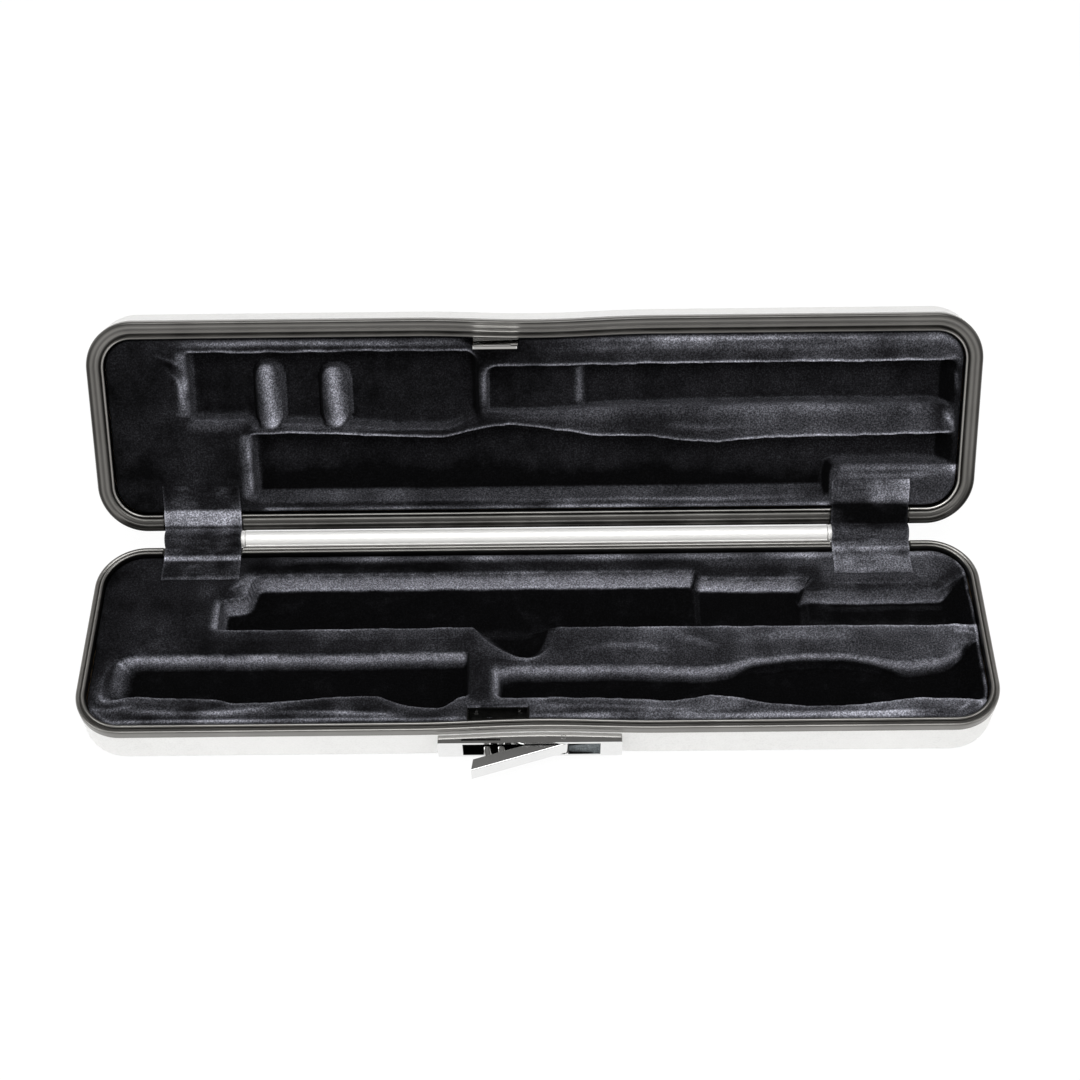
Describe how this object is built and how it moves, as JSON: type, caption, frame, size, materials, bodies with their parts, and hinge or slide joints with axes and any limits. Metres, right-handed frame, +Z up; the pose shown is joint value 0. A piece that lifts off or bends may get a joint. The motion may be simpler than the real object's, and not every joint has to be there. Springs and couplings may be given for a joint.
{
  "type": "flute case",
  "caption": "Hard case for a dismantled flute: shallow hinged halves with metal rims, moulded velvet linings, velvet hinge straps and a swinging lever latch, lid standing open.",
  "frame": {"origin": "centre of the base's flat underside", "axes": "+X along the case, -Y towards the latch side, +Y towards the hinge, +Z up"},
  "size_m": [0.43, 0.2067, 0.1154],
  "materials": {
    "leatherette": "fine grain, satin",
    "board": "plain",
    "rim": "satin, dark nickel tone",
    "velvet": "short pile",
    "hinge_steel": "nickelled, satin",
    "latch_chrome": "polished",
    "latch_inner": "bright plated"
  },
  "bodies": {
    "base": {"base_covering": "leatherette", "base_shell": "board", "base_rim": "rim", "base_lining": "velvet", "hinge_centre_knuckle": "hinge_steel", "hinge_pin": "hinge_steel", "base_hinge_rivets": "hinge_steel", "latch_plate": "latch_chrome", "latch_pan": "latch_inner", "latch_studs": "latch_chrome", "latch_pivot": "latch_chrome", "striker_well": "latch_inner", "well_tacks": "latch_chrome", "strap_left": "velvet", "strap_right": "velvet"},
    "lid": {"lid_covering": "leatherette", "lid_shell": "board", "lid_rim": "rim", "lid_lining": "velvet", "hinge_end_left": "hinge_steel", "hinge_end_right": "hinge_steel", "lid_hinge_rivets": "hinge_steel", "lid_striker": "latch_chrome", "striker_screws": "latch_chrome"},
    "latch_lever": {"latch_lever": "latch_chrome"}
  },
  "joints": [
    {"name": "lid_hinge", "type": "hinge", "parent": "base", "child": "lid", "pos_m": [0, 0.0568, 0.0261], "axis": [1, 0, 0], "range_deg": [0, 125], "deforming": ["strap_left", "strap_right"]},
    {"name": "latch_lever", "type": "hinge", "parent": "base", "child": "latch_lever", "pos_m": [0.012, -0.05395, 0.015], "axis": [0, 0, 1], "range_deg": [-17, 23]}
  ]
}
